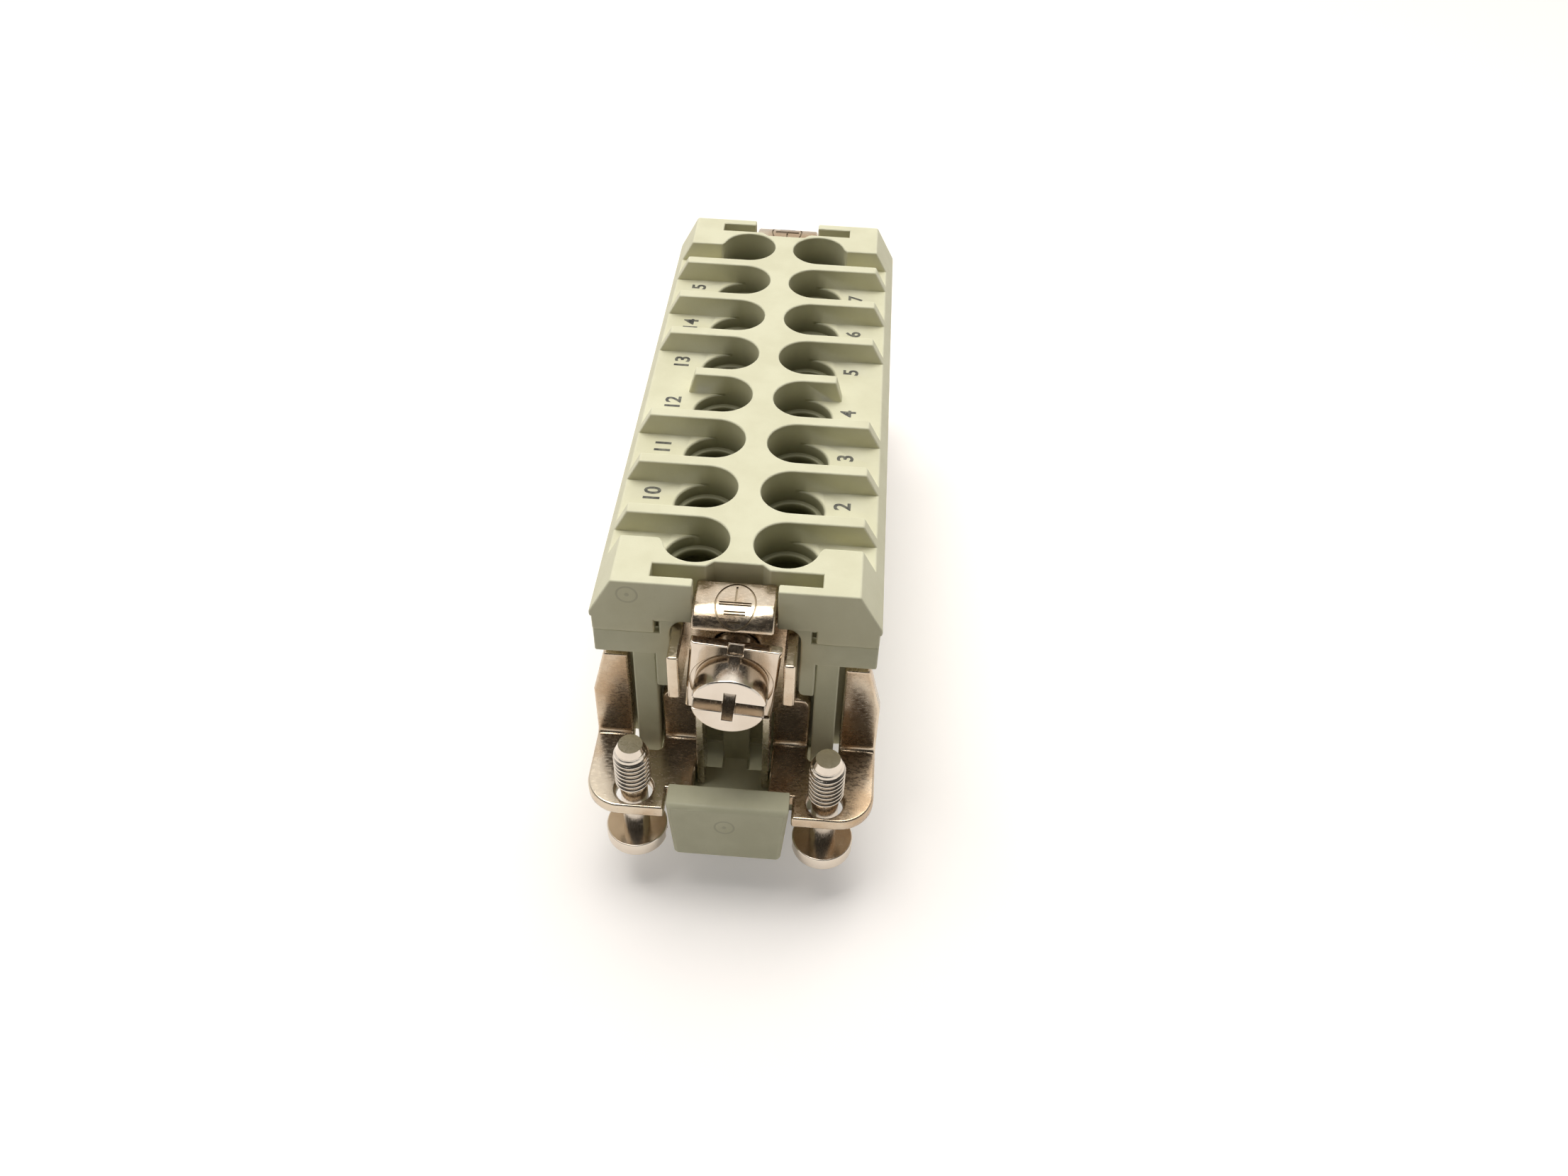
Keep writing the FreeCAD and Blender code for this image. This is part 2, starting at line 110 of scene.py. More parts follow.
def newGroup(name, inputs, outputs):
    group = bpy.data.node_groups.new(name, "ShaderNodeTree")
    for label, kind, value in inputs:
        socket = group.interface.new_socket(label, in_out="INPUT", socket_type=kind)
        if value is not None:
            socket.default_value = value
    for label, kind in outputs:
        group.interface.new_socket(label, in_out="OUTPUT", socket_type=kind)
    return group, addNode(group, "NodeGroupInput"), addNode(group, "NodeGroupOutput")


def makeGrainGroup():
    group, source, result = newGroup(
        "mouldedGrain",
        [("Place", "NodeSocketVector", None), ("Grain", "NodeSocketFloat", 5000.0), ("Mottle", "NodeSocketFloat", 300.0)],
        [("Height", "NodeSocketFloat"), ("Tone", "NodeSocketFloat")],
    )
    fine = addNode(group, "ShaderNodeTexNoise", Detail=3.0, Roughness=0.6)
    join(group, source.outputs["Place"], fine.inputs["Vector"])
    join(group, source.outputs["Grain"], fine.inputs["Scale"])
    broad = addNode(group, "ShaderNodeTexNoise", Detail=4.0, Roughness=0.55)
    join(group, source.outputs["Place"], broad.inputs["Vector"])
    join(group, source.outputs["Mottle"], broad.inputs["Scale"])
    tone = rangeNode(group, broad.outputs["Fac"], 0.32, 0.68)
    join(group, fine.outputs["Fac"], result.inputs["Height"])
    join(group, tone, result.inputs["Tone"])
    return group


def makeWearGroup():
    group, source, result = newGroup(
        "edgeWear",
        [("Place", "NodeSocketVector", None), ("Edge", "NodeSocketFloat", 0.0), ("Patch", "NodeSocketFloat", 900.0)],
        [("Wear", "NodeSocketFloat")],
    )
    patches = addNode(group, "ShaderNodeTexNoise", Detail=3.0, Roughness=0.6)
    join(group, source.outputs["Place"], patches.inputs["Vector"])
    join(group, source.outputs["Patch"], patches.inputs["Scale"])
    patchy = rangeNode(group, patches.outputs["Fac"], 0.25, 0.6, 0.35, 1.0)
    join(group, mathNode(group, "MULTIPLY", source.outputs["Edge"], patchy, clamp=True), result.inputs["Wear"])
    return group


# Painted shade for the contact holes: 1 deep inside the holes, 0 at their rims and everywhere else. The plastic is
# darkened by it to paint the shade down in the holes.
def makeDepthGroup():
    group, source, result = newGroup(
        "paintedHoleShade", [("Place", "NodeSocketVector", None), ("Reach", "NodeSocketFloat", 0.0027)],
        [("Depth", "NodeSocketFloat")],
    )
    place = addNode(group, "ShaderNodeSeparateXYZ")
    join(group, source.outputs["Place"], place.inputs[0])
    across = mathNode(group, "SUBTRACT", mathNode(group, "ABSOLUTE", place.outputs["X"]), columnPlace * mm)
    row = mathNode(group, "FRACT", mathNode(group, "DIVIDE", place.outputs["Y"], rowPitch * mm))
    along = mathNode(group, "MULTIPLY", mathNode(group, "SUBTRACT", row, 0.5), rowPitch * mm)
    square = mathNode(group, "ADD", mathNode(group, "POWER", across, 2.0), mathNode(group, "POWER", along, 2.0))
    away = mathNode(group, "SUBTRACT", mathNode(group, "SQRT", square), source.outputs["Reach"])
    inside = rangeNode(group, away, 0.0, 0.2 * mm, 1.0, 0.0)
    sunk = rangeNode(group, place.outputs["Z"], 25.6 * mm, 29.6 * mm, 1.0, 0.0)
    reach = rowPitch * len(rowPlaces) / 2
    between = mathNode(group, "LESS_THAN", mathNode(group, "ABSOLUTE", place.outputs["Y"]), reach * mm)
    above = rangeNode(group, place.outputs["Z"], 9 * mm, 12 * mm)
    deep = mathNode(group, "MULTIPLY", mathNode(group, "MULTIPLY", sunk, above), between)
    whole = mathNode(group, "MULTIPLY", inside, deep)
    join(group, whole, result.inputs["Depth"])
    return group


# A small round mould mark: a ring with a dot in it, around a centre on the surface
def makeMarkGroup():
    group, source, result = newGroup(
        "mouldMark",
        [("Place", "NodeSocketVector", None), ("Centre", "NodeSocketVector", None), ("Radius", "NodeSocketFloat", 0.0008)],
        [("Mark", "NodeSocketFloat")],
    )
    away = addNode(group, "ShaderNodeVectorMath", operation="DISTANCE")
    join(group, source.outputs["Place"], away.inputs[0])
    join(group, source.outputs["Centre"], away.inputs[1])
    fromRing = mathNode(group, "ABSOLUTE", mathNode(group, "SUBTRACT", away.outputs["Value"], source.outputs["Radius"]))
    ring = rangeNode(group, fromRing, 0.03 * mm, 0.13 * mm, 1.0, 0.0)
    dot = rangeNode(group, away.outputs["Value"], 0.12 * mm, 0.24 * mm, 1.0, 0.0)
    join(group, mathNode(group, "MAXIMUM", ring, dot), result.inputs["Mark"])
    return group


grainGroup = makeGrainGroup()
wearGroup = makeWearGroup()
holeShadeGroup = makeDepthGroup()
markGroup = makeMarkGroup()


def startMaterial(name):
    material = bpy.data.materials.new(name)
    material.use_nodes = True
    tree = material.node_tree
    shader = tree.nodes["Principled BSDF"]
    place = addNode(tree, "ShaderNodeTexCoord").outputs["Object"]
    edge = addNode(tree, "ShaderNodeAttribute", attribute_name="edge").outputs["Fac"]
    wear = addNode(tree, "ShaderNodeGroup", node_tree=wearGroup)
    join(tree, place, wear.inputs["Place"])
    join(tree, edge, wear.inputs["Edge"])
    return material, tree, shader, place, wear.outputs["Wear"]


def bumpFrom(tree, height, strength, distance, shader):
    node = addNode(tree, "ShaderNodeBump", Strength=strength, Distance=distance * mm)
    join(tree, height, node.inputs["Height"])
    join(tree, node.outputs["Normal"], shader.inputs["Normal"])
    return node


# Glass-filled moulding: fine grain, slight mottling, edges a little paler, and painted shade deep in the contact holes
def makePlastic(name, colour, deeper, paler, roughness, reach, markPlace, markRadius):
    material, tree, shader, place, wear = startMaterial(name)
    grain = addNode(tree, "ShaderNodeGroup", node_tree=grainGroup)
    join(tree, place, grain.inputs["Place"])
    grain.inputs["Grain"].default_value = 6000
    grain.inputs["Mottle"].default_value = 260
    tone = mixColour(tree, mathNode(tree, "MULTIPLY", grain.outputs["Tone"], 0.6), colour, deeper)
    speck = rangeNode(tree, noise(tree, place, 3200, 2.0), 0.66, 0.74)
    tone = mixColour(tree, mathNode(tree, "MULTIPLY", speck, 0.25), tone, deeper)
    tone = mixColour(tree, mathNode(tree, "MULTIPLY", wear, 0.5), tone, paler)
    depth = addNode(tree, "ShaderNodeGroup", node_tree=holeShadeGroup)
    join(tree, place, depth.inputs["Place"])
    depth.inputs["Reach"].default_value = reach * mm
    mark = addNode(tree, "ShaderNodeGroup", node_tree=markGroup)
    join(tree, place, mark.inputs["Place"])
    mark.inputs["Centre"].default_value = Vector(markPlace) * mm
    mark.inputs["Radius"].default_value = markRadius * mm
    # The mould mark is real; its ring and dot are darkened as painted shade in its small groove
    markShade = tuple(c * 0.62 for c in deeper[:3]) + (1.0,)
    tone = mixColour(tree, mathNode(tree, "MULTIPLY", mark.outputs["Mark"], 0.45), tone, markShade)
    # Painted shade: deep in the contact holes the moulding turns near black, standing in for the shade down there
    holeShadeColour = tuple(c * 0.16 for c in deeper[:2]) + (deeper[2] * 0.09, 1.0)
    join(tree, mixColour(tree, depth.outputs["Depth"], tone, holeShadeColour), shader.inputs["Base Color"])
    rough = rangeNode(tree, grain.outputs["Height"], 0.3, 0.7, roughness - 0.06, roughness + 0.08)
    join(tree, rough, shader.inputs["Roughness"])
    height = mathNode(tree, "SUBTRACT", grain.outputs["Height"], mathNode(tree, "MULTIPLY", mark.outputs["Mark"], 0.9))
    bumpFrom(tree, height, 0.35, 0.03, shader)
    return material


# Nickel plate: fine scuffs along one way, warm tarnish in patches, brighter edges
def makeNickel(name, colour, tarnish, amount, roughness, brush, patchSize=170):
    material, tree, shader, place, wear = startMaterial(name)
    shader.inputs["Metallic"].default_value = 1.0
    stretch = addNode(tree, "ShaderNodeMapping")
    stretch.inputs["Scale"].default_value = brush
    join(tree, place, stretch.inputs["Vector"])
    scuffs = noise(tree, stretch.outputs["Vector"], 1.0, 4.0, 0.65)
    patches = rangeNode(tree, noise(tree, place, patchSize, 3.0, 0.55), 0.4, 0.66)
    stain = mathNode(tree, "MULTIPLY", patches, amount)
    tone = mixColour(tree, stain, colour, tarnish)
    bright = tuple(min(1.0, c * 1.1) for c in colour[:3]) + (1.0,)
    join(tree, mixColour(tree, mathNode(tree, "MULTIPLY", wear, 0.5), tone, bright), shader.inputs["Base Color"])
    rough = rangeNode(tree, scuffs, 0.3, 0.7, roughness - 0.06, roughness + 0.08)
    join(tree, mathNode(tree, "ADD", rough, mathNode(tree, "MULTIPLY", stain, 0.1)), shader.inputs["Roughness"])
    bumpFrom(tree, scuffs, 0.15, 0.01, shader)
    return material


def makeInk():
    material, tree, shader, place, wear = startMaterial("printedInk")
    worn = rangeNode(tree, noise(tree, place, 2600, 3.0), 0.35, 0.75)
    join(tree, mixColour(tree, worn, shade(66, 66, 62), shade(122, 121, 106)), shader.inputs["Base Color"])
    join(tree, rangeNode(tree, worn, 0.0, 1.0, 0.45, 0.7), shader.inputs["Roughness"])
    bumpFrom(tree, worn, 0.2, 0.01, shader)
    return material


finishes = {
    "coverPlastic": makePlastic("coverPlastic", shade(221, 218, 187), shade(209, 205, 172), shade(235, 232, 206), 0.5,
                                2.7, (-8.35, -28.2, 28.65), 0.8),
    "bodyPlastic": makePlastic("bodyPlastic", shade(212, 210, 181), shade(197, 195, 164), shade(230, 227, 201), 0.5,
                               2.85, (-0.2, -35.2, 9.1), 0.8),
    "sheet": makeNickel("platedSheet", (0.64, 0.55, 0.43, 1), (0.42, 0.28, 0.16, 1), 0.8, 0.2, (2600, 5200, 5200)),
    "plate": makeNickel("platedClamp", (0.68, 0.6, 0.5, 1), (0.48, 0.36, 0.25, 1), 0.4, 0.16, (3000, 5200, 900)),
    "screw": makeNickel("platedScrew", (0.72, 0.65, 0.56, 1), (0.48, 0.38, 0.27, 1), 0.3, 0.17, (9000, 9000, 2500)),
    # Clamp screws down in the contact holes: a darker copy of the plated screw finish, painted shade
    "shadedScrew": makeNickel("paintedShadeScrew", (0.34, 0.3, 0.24, 1), (0.22, 0.18, 0.12, 1), 0.6, 0.36, (4200, 4200, 900)),
    "contact": makeNickel("silveredContact", (0.66, 0.6, 0.5, 1), (0.45, 0.37, 0.24, 1), 0.5, 0.24, (2500, 2500, 2500)),
    "groove": makeNickel("tarnishedGroove", (0.3, 0.24, 0.16, 1), (0.2, 0.14, 0.08, 1), 0.6, 0.4, (2500, 2500, 2500)),
    "ink": makeInk(),
}
print("finishes made:", len(finishes))


# Meshes

def newPiece(name, mesh, finish=None):
    piece = bpy.data.objects.new(name, mesh)
    scene.collection.objects.link(piece)
    if finish:
        piece.data.materials.clear()
        piece.data.materials.append(finishes[finish])
    return piece


# The piece with its modifiers turned into plain mesh
def baked(piece):
    bpy.context.view_layer.update()
    result = bpy.data.meshes.new_from_object(piece.evaluated_get(bpy.context.evaluated_depsgraph_get()))
    piece.modifiers.clear()
    old = piece.data
    piece.data = result
    bpy.data.meshes.remove(old)
    return piece


# Welds a copy of a node's mesh and joins its flat triangles. The planes keep every flat face
# free of holes: each is an axis, 0 to 2, and a place on it.
def flattened(node, planes):
    work = bmesh.new()
    work.from_mesh(nodes[node].data)
    bmesh.ops.remove_doubles(work, verts=work.verts, dist=0.0004 * mm)
    flat = math.radians(0.4)
    bmesh.ops.dissolve_limit(work, angle_limit=flat, verts=work.verts, edges=work.edges)
    for axis, place in planes:
        normal = Vector([1.0 if axis == other else 0.0 for other in range(3)])
        everything = work.verts[:] + work.edges[:] + work.faces[:]
        cut = bmesh.ops.bisect_plane(work, geom=everything, dist=0.0005 * mm, plane_co=normal * place * mm,
                                     plane_no=normal)
        for part in cut["geom_cut"]:
            if isinstance(part, bmesh.types.BMEdge):
                part.seam = True
    bmesh.ops.dissolve_limit(work, angle_limit=flat, verts=work.verts, edges=work.edges, delimit={"SEAM"})
    return work


# Rounds the outer edges and keeps the inner corners crisp. The point attribute edge is 1 along
# the middle of each rounded edge.
def rounded(work, width, segments, sharpest):
    limit = math.radians(sharpest)
    outer = [e for e in work.edges if len(e.link_faces) == 2 and e.calc_face_angle_signed(0) > limit]
    made = bmesh.ops.bevel(
        work, geom=outer, offset=width * mm, offset_type="OFFSET", segments=segments, profile=0.5,
        affect="EDGES", clamp_overlap=False, miter_outer="ARC" if segments > 2 else "SHARP",
    )
    strips = set(made["faces"])
    layer = work.verts.layers.float.new("edge")
    for vert in work.verts:
        vert[layer] = 1.0 if all(face in strips for face in vert.link_faces) else 0.0
    for face in work.faces:
        face.smooth = True
    for edge in work.edges:
        if len(edge.link_faces) == 2 and edge.calc_face_angle_signed(0) < -limit:
            edge.smooth = False


def asMesh(work, name):
    mesh = bpy.data.meshes.new(name)
    work.to_mesh(mesh)
    work.free()
    return mesh


# A rounded copy of one node of the frame, which then stands for it
def dressed(node, finish, width, planes=(), segments=2, sharpest=25, change=None):
    work = flattened(node, planes)
    rounded(work, width, segments, sharpest)
    piece = newPiece(node + "_finished", asMesh(work, node), finish)
    if change:
        change(piece)
    smooth = piece.modifiers.new("even shading", "WEIGHTED_NORMAL")
    smooth.keep_sharp = True
    baked(piece)
    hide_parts(node)
    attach(piece, "root")
    return piece


edgeRadii = {"cover": 0.16, "body": 0.16, "sheet": 0.22, "plate": 0.1, "screw": 0.12, "strip": 0.08}
rowPlanes = [(0, 0.0)] + [(1, place) for place in rowPlaces]


# The earth symbol on a tongue, as closed bars that reach through its surface. Along is measured
# on the sheet from the start of the bend, positive down the bend.
symbol = {
    "bendStart": -28.3, "bendRadius": 2.5, "top": 28.7, "width": 0.15, "depth": 0.12,
    "centre": (0.08, 0.15), "ring": (1.55, 2.15),
    "bars": [((0.05, -1.75), (0.05, -0.12)), ((-1.2, 0.0), (1.3, 0.0)), ((-1.2, 0.24), (1.3, 0.24)),
             ((-0.75, 0.86), (0.9, 0.86)), ((-0.75, 1.1), (0.9, 1.1)), ((-0.4, 1.72), (0.55, 1.72))],
}


def onTongue(across, along, height):
    turn = max(along, 0.0) / symbol["bendRadius"]
    radius = symbol["bendRadius"] + height
    back = -min(along, 0.0)
    return Vector((across, symbol["bendStart"] + back - radius * math.sin(turn),
                   symbol["top"] - symbol["bendRadius"] + radius * math.cos(turn))) * mm


def addStroke(work, points, closed=False):
    half = symbol["width"] / 2
    count = len(points)
    rings = []
    for index, point in enumerate(points):
        before = points[index - 1] if closed or index else point
        after = points[(index + 1) % count] if closed or index < count - 1 else point
        run = Vector((after[0] - before[0], after[1] - before[1])).normalized()
        side = Vector((-run.y, run.x)) * half
        ring = []
        for sign, height in ((1, -symbol["depth"]), (-1, -symbol["depth"]), (-1, 0.1), (1, 0.1)):
            ring.append(work.verts.new(onTongue(point[0] + side.x * sign, point[1] + side.y * sign, height)))
        rings.append(ring)
    for index in range(count if closed else count - 1):
        near, far = rings[index], rings[(index + 1) % count]
        for corner in range(4):
            follow = (corner + 1) % 4
            work.faces.new((near[corner], near[follow], far[follow], far[corner]))
    if not closed:
        work.faces.new(rings[0][::-1])
        work.faces.new(rings[-1])


def makeSymbolCutter():
    work = bmesh.new()
    centre, radii = symbol["centre"], symbol["ring"]
    turns = [math.tau * step / 64 for step in range(64)]
    addStroke(work, [(centre[0] + radii[0] * math.cos(t), centre[1] + radii[1] * math.sin(t)) for t in turns], True)
    for start, finish in symbol["bars"]:
        steps = [step / 6 for step in range(7)]
        addStroke(work, [(start[0] + (finish[0] - start[0]) * s, start[1] + (finish[1] - start[1]) * s) for s in steps])
    bmesh.ops.recalc_face_normals(work, faces=work.faces)
    return newPiece("symbolCutter", asMesh(work, "symbolCutter"), "groove")


symbolCutter = makeSymbolCutter()


def engraved(piece):
    symbolCutter.rotation_euler = (0, 0, 0 if piece.name.startswith("front") else math.pi)
    cut = piece.modifiers.new("symbol", "BOOLEAN")
    cut.operation = "DIFFERENCE"
    cut.solver = "EXACT"
    cut.material_mode = "TRANSFER"
    cut.object = symbolCutter
    baked(piece)


dressed("upper_cover", "coverPlastic", edgeRadii["cover"], rowPlanes + [(1, -26.9), (1, 26.9)])
nosePlanes = [(1, side * place) for side in (-1, 1) for place in (26.52, 32.78)]
dressed("lower_body", "bodyPlastic", edgeRadii["body"], rowPlanes + nosePlanes)
for end, sign in (("front", -1), ("rear", 1)):
    flangePlanes = [(0, 0.0), (0, 8.0), (0, -8.0), (1, sign * 33.0)]
    dressed(end + "_bracket", "sheet", edgeRadii["sheet"], flangePlanes, change=engraved)
    dressed(end + "_clamp_plate", "plate", edgeRadii["plate"], [(0, 0.0)])
    dressed(end + "_earth_contact", "contact", edgeRadii["strip"])
bpy.data.objects.remove(symbolCutter)
print("housing and terminals dressed")


# Screw threads: one turned thread, set on the points of the piece along their axes

def makeThreadGroup():
    tree = bpy.data.node_groups.new("screwThread", "GeometryNodeTree")
    tree.interface.new_socket("Geometry", in_out="INPUT", socket_type="NodeSocketGeometry")
    for label in ("Radius", "Depth", "Pitch", "Length", "Tip", "Taper"):
        tree.interface.new_socket(label, in_out="INPUT", socket_type="NodeSocketFloat")
    for label in ("Around", "Along"):
        tree.interface.new_socket(label, in_out="INPUT", socket_type="NodeSocketInt")
    tree.interface.new_socket("Finish", in_out="INPUT", socket_type="NodeSocketMaterial")
    tree.interface.new_socket("Geometry", in_out="OUTPUT", socket_type="NodeSocketGeometry")
    source, result = addNode(tree, "NodeGroupInput"), addNode(tree, "NodeGroupOutput")
    given = source.outputs

    sheet = addNode(tree, "GeometryNodeMeshGrid", Size_X=1.0, Size_Y=1.0)
    join(tree, mathNode(tree, "ADD", given["Around"], 1), sheet.inputs["Vertices X"])
    join(tree, given["Along"], sheet.inputs["Vertices Y"])
    place = addNode(tree, "ShaderNodeSeparateXYZ")
    join(tree, addNode(tree, "GeometryNodeInputPosition").outputs[0], place.inputs[0])
    around = mathNode(tree, "ADD", place.outputs["X"], 0.5)
    angle = mathNode(tree, "MULTIPLY", around, math.tau)
    height = mathNode(tree, "MULTIPLY", mathNode(tree, "ADD", place.outputs["Y"], 0.5), given["Length"])
    turns = mathNode(tree, "SUBTRACT", mathNode(tree, "DIVIDE", height, given["Pitch"]), around)
    swing = mathNode(tree, "MULTIPLY_ADD", mathNode(tree, "FRACT", turns), 2.0, -1.0)
    groove = rangeNode(tree, mathNode(tree, "ABSOLUTE", swing), 0.08, 0.85)
    cut = mathNode(tree, "SUBTRACT", given["Radius"], mathNode(tree, "MULTIPLY", given["Depth"], groove))
    past = mathNode(tree, "SUBTRACT", height, mathNode(tree, "SUBTRACT", given["Length"], given["Taper"]))
    slope = mathNode(tree, "DIVIDE", given["Tip"], given["Taper"])
    narrower = mathNode(tree, "MULTIPLY", mathNode(tree, "MAXIMUM", past, 0.0), slope)
    tip = mathNode(tree, "SUBTRACT", given["Radius"], narrower)
    radius = mathNode(tree, "MINIMUM", cut, tip)
    spot = addNode(tree, "ShaderNodeCombineXYZ")
    join(tree, mathNode(tree, "MULTIPLY", radius, mathNode(tree, "COSINE", angle)), spot.inputs[0])
    join(tree, mathNode(tree, "MULTIPLY", radius, mathNode(tree, "SINE", angle)), spot.inputs[1])
    join(tree, height, spot.inputs[2])
    wrap = addNode(tree, "GeometryNodeSetPosition")
    join(tree, sheet.outputs["Mesh"], wrap.inputs["Geometry"])
    join(tree, spot.outputs[0], wrap.inputs["Position"])

    disc = addNode(tree, "GeometryNodeMeshCircle", fill_type="NGON")
    join(tree, given["Around"], disc.inputs["Vertices"])
    join(tree, mathNode(tree, "SUBTRACT", given["Radius"], given["Tip"]), disc.inputs["Radius"])
    lift = addNode(tree, "ShaderNodeCombineXYZ")
    join(tree, given["Length"], lift.inputs[2])
    lid = addNode(tree, "GeometryNodeTransform")
    join(tree, disc.outputs[0], lid.inputs["Geometry"])
    join(tree, lift.outputs[0], lid.inputs["Translation"])
    weld = addNode(tree, "GeometryNodeMergeByDistance", Distance=0.002 * mm)
    join(tree, wrap.outputs[0], weld.inputs["Geometry"])
    smooth = addNode(tree, "GeometryNodeSetShadeSmooth")
    join(tree, weld.outputs[0], smooth.inputs["Geometry"])
    whole = addNode(tree, "GeometryNodeJoinGeometry")
    join(tree, smooth.outputs[0], whole.inputs[0])
    join(tree, lid.outputs[0], whole.inputs[0])

    axis = addNode(tree, "GeometryNodeInputNamedAttribute", data_type="FLOAT_VECTOR", Name="axis")
    align = addNode(tree, "FunctionNodeAlignRotationToVector", axis="Z")
    join(tree, axis.outputs["Attribute"], align.inputs["Vector"])
    spin = addNode(tree, "ShaderNodeCombineXYZ")
    chance = addNode(tree, "FunctionNodeRandomValue", data_type="FLOAT")
    chance.inputs[3].default_value = math.tau
    join(tree, chance.outputs[1], spin.inputs[2])
    own = addNode(tree, "FunctionNodeEulerToRotation")
    join(tree, spin.outputs[0], own.inputs[0])
    turn = addNode(tree, "FunctionNodeRotateRotation", rotation_space="LOCAL")
    join(tree, align.outputs[0], turn.inputs[0])
    join(tree, own.outputs[0], turn.inputs[1])
    spread = addNode(tree, "GeometryNodeInstanceOnPoints")
    join(tree, given["Geometry"], spread.inputs["Points"])
    join(tree, whole.outputs[0], spread.inputs["Instance"])
    join(tree, turn.outputs[0], spread.inputs["Rotation"])
    real = addNode(tree, "GeometryNodeRealizeInstances")
    join(tree, spread.outputs[0], real.inputs[0])
    paint = addNode(tree, "GeometryNodeSetMaterial")
    join(tree, real.outputs[0], paint.inputs["Geometry"])
    join(tree, given["Finish"], paint.inputs["Material"])
    join(tree, paint.outputs[0], result.inputs[0])
    return tree


threadGroup = makeThreadGroup()
threadNames = {item.name: item.identifier for item in threadGroup.interface.items_tree if item.in_out == "INPUT"}


def threads(name, points, axes, values):
    mesh = bpy.data.meshes.new(name)
    mesh.from_pydata([Vector(point) * mm for point in points], [], [])
    stored = mesh.attributes.new("axis", "FLOAT_VECTOR", "POINT")
    for index, axis in enumerate(axes):
        stored.data[index].vector = axis
    piece = newPiece(name, mesh)
    turner = piece.modifiers.new("thread", "NODES")
    turner.node_group = threadGroup
    for label, value in values.items():
        turner[threadNames[label]] = value if label in ("Around", "Along") else value * mm
    turner[threadNames["Finish"]] = finishes["screw"]
    return baked(piece)


# A fixing screw keeps its rounded head and thin shank, and its plain end gives way to a turned
# thread. The shank runs up from the cut to the thread.
fixing = {"x": 8.0, "y": 33.0, "cut": 10.6, "threadStart": 11.85}
fixingThread = {"Radius": 1.5, "Depth": 0.3, "Pitch": 0.5, "Length": 4.65, "Tip": 0.5, "Taper": 1.3}
corners = [(1, -1), (-1, -1), (1, 1), (-1, 1)]


def shortened(node, planes):
    work = flattened(node, planes)
    everything = work.verts[:] + work.edges[:] + work.faces[:]
    cut = bmesh.ops.bisect_plane(work, geom=everything, dist=0.0005 * mm, plane_co=(0, 0, fixing["cut"] * mm),
                                 plane_no=(0, 0, 1), clear_outer=True)
    rim = [part for part in cut["geom_cut"] if isinstance(part, bmesh.types.BMEdge)]
    grown = bmesh.ops.extrude_edge_only(work, edges=rim)["geom"]
    raised = [part for part in grown if isinstance(part, bmesh.types.BMVert)]
    rise = (fixing["threadStart"] - fixing["cut"] + 0.02) * mm
    bmesh.ops.translate(work, verts=raised, vec=(0, 0, rise))
    return work


def screwPiece(node, work):
    rounded(work, edgeRadii["screw"], 2, 50)
    piece = newPiece(node + "_finished", asMesh(work, node), "screw")
    smooth = piece.modifiers.new("even shading", "WEIGHTED_NORMAL")
    smooth.keep_sharp = True
    baked(piece)
    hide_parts(node)
    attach(piece, "root")


for number, (side, end) in enumerate(corners, 1):
    node = "fixing_screw_%d" % number
    screwPiece(node, shortened(node, [(0, side * fixing["x"]), (1, end * fixing["y"])]))
for end in ("front", "rear"):
    screwPiece(end + "_earth_screw", flattened(end + "_earth_screw", []))

places = [(side * fixing["x"], end * fixing["y"], fixing["threadStart"]) for side, end in corners]
threadValues = dict(fixingThread, Around=48, Along=84)
fixingThreads = threads("fixing_threads", places, [(0, 0, 1)] * 4, threadValues)
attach(fixingThreads, "root")
print("threads turned:", len(fixingThreads.data.polygons), "faces")


# Printed contact numbers on the floors of the recesses: left of the hole on one side, right on the other

numbers = {"height": 27.912, "size": 1.95, "left": -8.25, "right": 7.8, "along": 0.95, "thickness": 0.008, "stroke": 0.045}


def makeNumbers():
    work = bmesh.new()
    for number in range(1, 17):
        row = (number - 1) % 8
        curve = bpy.data.curves.new("number", "FONT")
        curve.body = str(number)
        curve.size = numbers["size"] * mm
        curve.align_x = "CENTER"
        curve.align_y = "CENTER"
        curve.resolution_u = 4
        curve.extrude = numbers["thickness"] * mm / 2
        curve.offset = numbers["stroke"] * mm
        lettering = bpy.data.objects.new("number", curve)
        scene.collection.objects.link(lettering)
        bpy.context.view_layer.update()
        mesh = bpy.data.meshes.new_from_object(lettering.evaluated_get(bpy.context.evaluated_depsgraph_get()))
        across = numbers["right"] if number <= 8 else numbers["left"]
        spot = Vector((across, rowPlaces[row] + numbers["along"], numbers["height"])) * mm
        mesh.transform(Matrix.Translation(spot) @ Matrix.Rotation(math.pi / 2, 4, "Z"))
        work.from_mesh(mesh)
        bpy.data.meshes.remove(mesh)
        bpy.data.objects.remove(lettering)
        bpy.data.curves.remove(curve)
    piece = newPiece("contact_numbers", asMesh(work, "contact_numbers"), "ink")
    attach(piece, "root")


makeNumbers()
print("numbers printed")


for name, node in nodes.items():
    if name.startswith("contact_"):
        finish = "contact"
    # the clamp screws take the darker copy of the screw finish, painted shade deep in the holes
    elif name.startswith("clamp_screw"):
        finish = "shadedScrew"
    else:
        continue
    node.data.materials.clear()
    node.data.materials.append(finishes[finish])


# Camera, floor and light

cameraValues = {
    "place": (7.12, -97.98, 98.64),
    "azimuth": -2.79,
    "elevation": 44.27,
    "roll": 2.07,
    "lens": 29.73,
    "sensor": 36.0,
}


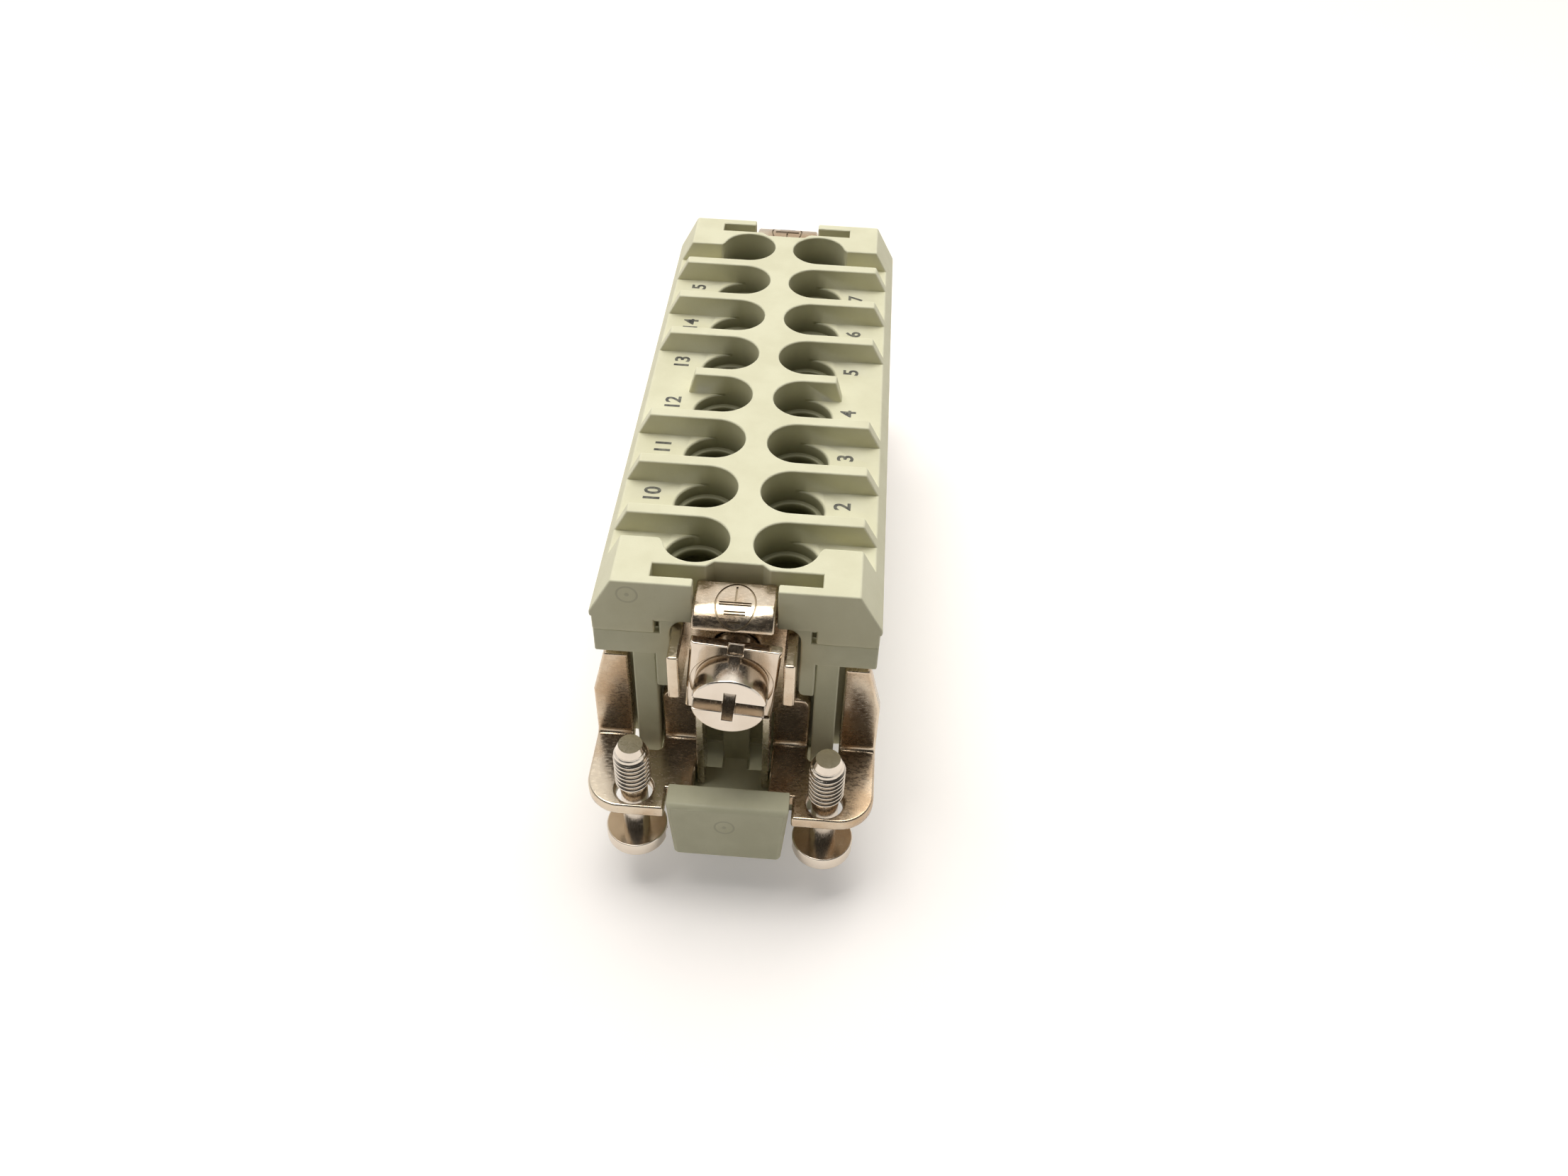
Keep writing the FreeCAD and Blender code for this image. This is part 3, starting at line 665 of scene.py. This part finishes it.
def makeCamera(values):
    azimuth, elevation, roll = (math.radians(values[key]) for key in ("azimuth", "elevation", "roll"))
    level = math.cos(elevation)
    ahead = Vector((math.sin(azimuth) * level, math.cos(azimuth) * level, -math.sin(elevation)))
    right = Vector((math.cos(azimuth), -math.sin(azimuth), 0))
    up = right.cross(ahead)
    side = right * math.cos(roll) + up * math.sin(roll)
    top = up * math.cos(roll) - right * math.sin(roll)
    data = bpy.data.cameras.new("camera")
    data.lens = values["lens"]
    data.sensor_width = values["sensor"]
    data.sensor_fit = "HORIZONTAL"
    data.clip_start = 1 * mm
    camera = bpy.data.objects.new("camera", data)
    turn = Matrix((side, top, -ahead)).transposed().to_4x4()
    camera.matrix_world = Matrix.Translation(Vector(values["place"]) * mm) @ turn
    scene.collection.objects.link(camera)
    scene.camera = camera


# 1 where the camera, a reflection or a clear piece looks at the surface
def lookedAt(tree):
    seen = addNode(tree, "ShaderNodeLightPath")
    looked = mathNode(tree, "MAXIMUM", seen.outputs["Is Camera Ray"], seen.outputs["Is Glossy Ray"])
    return mathNode(tree, "MAXIMUM", looked, seen.outputs["Is Transmission Ray"])


def stagePiece(name, work, material):
    mesh = asMesh(work, name)
    mesh.materials.append(material)
    newPiece(name, mesh)


floorValues = {"reach": 2.0, "bounce": (0.72, 0.7, 0.67, 1), "paper": (0.88, 0.84, 0.81, 1), "glow": 0.26}


def makeFloor(values):
    material = bpy.data.materials.new("floorPaper")
    material.use_nodes = True
    tree = material.node_tree
    tree.nodes.clear()
    looked = lookedAt(tree)
    paper = addNode(tree, "ShaderNodeBsdfDiffuse")
    join(tree, mixColour(tree, looked, values["bounce"], values["paper"]), paper.inputs["Color"])
    glow = addNode(tree, "ShaderNodeEmission", Color=(1, 0.98, 0.96, 1))
    join(tree, mathNode(tree, "MULTIPLY", looked, values["glow"]), glow.inputs["Strength"])
    both = addNode(tree, "ShaderNodeAddShader")
    join(tree, paper.outputs[0], both.inputs[0])
    join(tree, glow.outputs[0], both.inputs[1])
    output = addNode(tree, "ShaderNodeOutputMaterial")
    join(tree, both.outputs[0], output.inputs["Surface"])
    work = bmesh.new()
    bmesh.ops.create_grid(work, x_segments=1, y_segments=1, size=values["reach"])
    stagePiece("floor", work, material)


# A low pale wall all round, seen past the floor. It leaves the light on the object as it is.
backdropValues = {"radius": 1.95, "height": 0.95, "steps": 64, "colour": (1, 0.985, 0.965, 1), "strength": 0.9}


def makeBackdrop(values):
    material = bpy.data.materials.new("backdropPaper")
    material.use_nodes = True
    tree = material.node_tree
    tree.nodes.clear()
    clear = addNode(tree, "ShaderNodeBsdfTransparent")
    glow = addNode(tree, "ShaderNodeEmission", Color=values["colour"], Strength=values["strength"])
    both = addNode(tree, "ShaderNodeMixShader")
    join(tree, lookedAt(tree), both.inputs[0])
    join(tree, clear.outputs[0], both.inputs[1])
    join(tree, glow.outputs[0], both.inputs[2])
    output = addNode(tree, "ShaderNodeOutputMaterial")
    join(tree, both.outputs[0], output.inputs["Surface"])
    work = bmesh.new()
    rings = []
    for height in (0.0, values["height"]):
        turns = [math.tau * step / values["steps"] for step in range(values["steps"])]
        rings.append([work.verts.new((values["radius"] * math.cos(t), values["radius"] * math.sin(t), height)) for t in turns])
    for step in range(values["steps"]):
        after = (step + 1) % values["steps"]
        work.faces.new((rings[0][after], rings[0][step], rings[1][step], rings[1][after]))
    stagePiece("backdrop", work, material)


def makeLight(name, place, target, size, power, colour=(1, 1, 1)):
    data = bpy.data.lights.new(name, "AREA")
    data.shape = "RECTANGLE"
    data.size, data.size_y = size
    data.energy = power
    data.color = colour
    light = bpy.data.objects.new(name, data)
    light.location = place
    light.rotation_mode = "QUATERNION"
    light.rotation_quaternion = (Vector(target) - Vector(place)).to_track_quat("-Z", "Y")
    scene.collection.objects.link(light)


# A pale room: brighter above and behind the object, dim behind the camera
def makeWorld(dim, bright):
    world = bpy.data.worlds.new("studio")
    scene.world = world
    world.use_nodes = True
    tree = world.node_tree
    ground = tree.nodes["Background"]
    ground.inputs["Color"].default_value = (1.0, 0.985, 0.96, 1)
    facing = addNode(tree, "ShaderNodeVectorMath", operation="DOT_PRODUCT")
    join(tree, addNode(tree, "ShaderNodeTexCoord").outputs["Generated"], facing.inputs[0])
    facing.inputs[1].default_value = Vector((-0.1, 0.8, 0.6)).normalized()
    room = rangeNode(tree, facing.outputs["Value"], 0.35, 0.92, dim, bright)
    join(tree, room, ground.inputs["Strength"])


makeCamera(cameraValues)
makeFloor(floorValues)
makeBackdrop(backdropValues)
makeLight("overhead", (-0.04, 0.065, 0.46), (0, 0, 0.02), (0.42, 0.26), 1.8, (1, 0.985, 0.955))
makeWorld(0.04, 1.0)
scene.view_settings.view_transform = "Standard"
print("camera, floor and light set")
